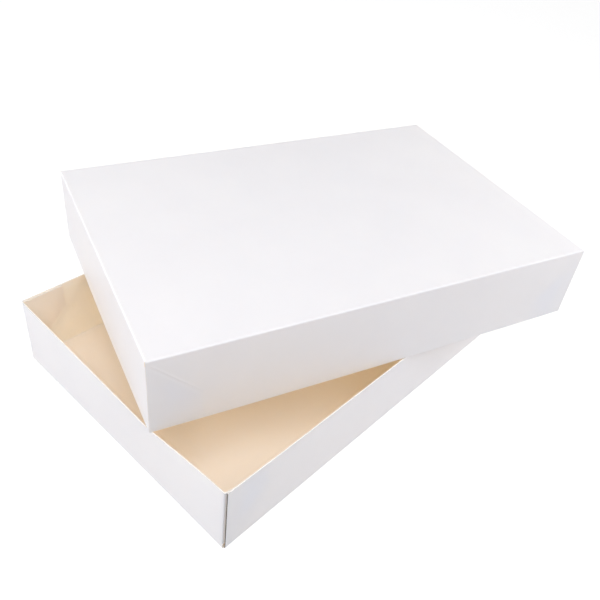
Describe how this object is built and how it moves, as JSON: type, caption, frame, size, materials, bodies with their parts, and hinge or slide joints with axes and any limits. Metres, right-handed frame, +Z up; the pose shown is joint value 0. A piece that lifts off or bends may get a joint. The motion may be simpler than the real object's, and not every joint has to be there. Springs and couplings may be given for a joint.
{
  "type": "jewelry gift box",
  "caption": "Shallow paperboard gift box for jewelry: a glued pop-up tray whose walls fold flat on their creases, with a matching lift-off lid resting turned on its rims.",
  "frame": {"origin": "centre of the base's underside", "axes": "+Z up, +Y along the base's long side away from the viewer, +X across it to the right"},
  "size_m": [0.2188, 0.2636, 0.078],
  "materials": {
    "white_board": "coated, satin",
    "cream_board": "uncoated, matt"
  },
  "bodies": {
    "base_bottom": {"base_bottom": "white_board"},
    "lid_top": {"lid_top": "white_board"},
    "base_front_wall": {"base_front_wall": "white_board"},
    "base_back_wall": {"base_back_wall": "white_board"},
    "base_right_wall": {"base_right_wall": "white_board"},
    "base_right_front_gusset": {"base_right_front_gusset": "white_board", "base_right_front_flap": "cream_board"},
    "base_right_back_gusset": {"base_right_back_gusset": "white_board", "base_right_back_flap": "cream_board"},
    "base_left_wall": {"base_left_wall": "white_board"},
    "base_left_front_gusset": {"base_left_front_gusset": "white_board", "base_left_front_flap": "cream_board"},
    "base_left_back_gusset": {"base_left_back_gusset": "white_board", "base_left_back_flap": "cream_board"},
    "lid_back_wall": {"lid_back_wall": "white_board"},
    "lid_front_wall": {"lid_front_wall": "white_board"},
    "lid_right_wall": {"lid_right_wall": "white_board"},
    "lid_right_back_gusset": {"lid_right_back_gusset": "white_board", "lid_right_back_flap": "cream_board"},
    "lid_right_front_gusset": {"lid_right_front_gusset": "white_board", "lid_right_front_flap": "cream_board"},
    "lid_left_wall": {"lid_left_wall": "white_board"},
    "lid_left_back_gusset": {"lid_left_back_gusset": "white_board", "lid_left_back_flap": "cream_board"},
    "lid_left_front_gusset": {"lid_left_front_gusset": "white_board", "lid_left_front_flap": "cream_board"}
  },
  "joints": [
    {"name": "lid_lift", "type": "slide", "parent": "base_bottom", "child": "lid_top", "axis": [0, 0, 1], "range_m": [0, 0.12]},
    {"name": "base_front_fold", "type": "hinge", "parent": "base_bottom", "child": "base_front_wall", "pos_m": [0, -0.1114, 0.0023], "axis": [-1, 0, 0], "range_deg": [0, 84]},
    {"name": "base_back_fold", "type": "hinge", "parent": "base_bottom", "child": "base_back_wall", "pos_m": [0, 0.1114, 0.0023], "axis": [1, 0, 0], "range_deg": [0, 84]},
    {"name": "base_right_fold", "type": "hinge", "parent": "base_bottom", "child": "base_right_wall", "pos_m": [0.07425, 0, 0.0005], "axis": [0, -1, 0], "range_deg": [0, 86]},
    {"name": "base_right_front_fold", "type": "hinge", "parent": "base_right_wall", "child": "base_right_front_gusset", "pos_m": [0.07475, -0.1019, 0.01055], "axis": [0, 0.7071, 0.7071], "range_deg": [0, 172]},
    {"name": "base_right_back_fold", "type": "hinge", "parent": "base_right_wall", "child": "base_right_back_gusset", "pos_m": [0.07475, 0.1019, 0.01055], "axis": [0, 0.7071, -0.7071], "range_deg": [0, 172]},
    {"name": "base_left_fold", "type": "hinge", "parent": "base_bottom", "child": "base_left_wall", "pos_m": [-0.07425, 0, 0.0005], "axis": [0, 1, 0], "range_deg": [0, 86]},
    {"name": "base_left_front_fold", "type": "hinge", "parent": "base_left_wall", "child": "base_left_front_gusset", "pos_m": [-0.07475, -0.1019, 0.01055], "axis": [0, -0.7071, -0.7071], "range_deg": [0, 172]},
    {"name": "base_left_back_fold", "type": "hinge", "parent": "base_left_wall", "child": "base_left_back_gusset", "pos_m": [-0.07475, 0.1019, 0.01055], "axis": [0, -0.7071, 0.7071], "range_deg": [0, 172]},
    {"name": "lid_back_fold", "type": "hinge", "parent": "lid_top", "child": "lid_back_wall", "pos_m": [0.03749, 0.12248, 0.0757], "axis": [-0.9403, 0.3404, 0], "range_deg": [0, 84]},
    {"name": "lid_front_fold", "type": "hinge", "parent": "lid_top", "child": "lid_front_wall", "pos_m": [-0.03909, -0.08908, 0.0757], "axis": [0.9403, -0.3404, 0], "range_deg": [0, 84]},
    {"name": "lid_right_fold", "type": "hinge", "parent": "lid_top", "child": "lid_right_wall", "pos_m": [0.06972, -0.00883, 0.0775], "axis": [0.3404, 0.9403, 0], "range_deg": [0, 86]},
    {"name": "lid_right_back_fold", "type": "hinge", "parent": "lid_right_wall", "child": "lid_right_back_gusset", "pos_m": [0.10525, 0.08785, 0.06745], "axis": [-0.2407, -0.6649, -0.7071], "range_deg": [0, 172]},
    {"name": "lid_right_front_fold", "type": "hinge", "parent": "lid_right_wall", "child": "lid_right_front_gusset", "pos_m": [0.03513, -0.10585, 0.06745], "axis": [-0.2407, -0.6649, 0.7071], "range_deg": [0, 172]},
    {"name": "lid_left_fold", "type": "hinge", "parent": "lid_top", "child": "lid_left_wall", "pos_m": [-0.07132, 0.04223, 0.0775], "axis": [-0.3404, -0.9403, 0], "range_deg": [0, 86]},
    {"name": "lid_left_back_fold", "type": "hinge", "parent": "lid_left_wall", "child": "lid_left_back_gusset", "pos_m": [-0.03673, 0.13925, 0.06745], "axis": [0.2407, 0.6649, 0.7071], "range_deg": [0, 172]},
    {"name": "lid_left_front_fold", "type": "hinge", "parent": "lid_left_wall", "child": "lid_left_front_gusset", "pos_m": [-0.10685, -0.05445, 0.06745], "axis": [0.2407, 0.6649, -0.7071], "range_deg": [0, 172]}
  ],
  "couplings": [
    {"joint": "base_right_front_fold", "follows": "base_right_fold", "ratio": 2},
    {"joint": "base_right_back_fold", "follows": "base_right_fold", "ratio": 2},
    {"joint": "base_left_front_fold", "follows": "base_left_fold", "ratio": 2},
    {"joint": "base_left_back_fold", "follows": "base_left_fold", "ratio": 2},
    {"joint": "lid_right_back_fold", "follows": "lid_right_fold", "ratio": 2},
    {"joint": "lid_right_front_fold", "follows": "lid_right_fold", "ratio": 2},
    {"joint": "lid_left_back_fold", "follows": "lid_left_fold", "ratio": 2},
    {"joint": "lid_left_front_fold", "follows": "lid_left_fold", "ratio": 2}
  ]
}
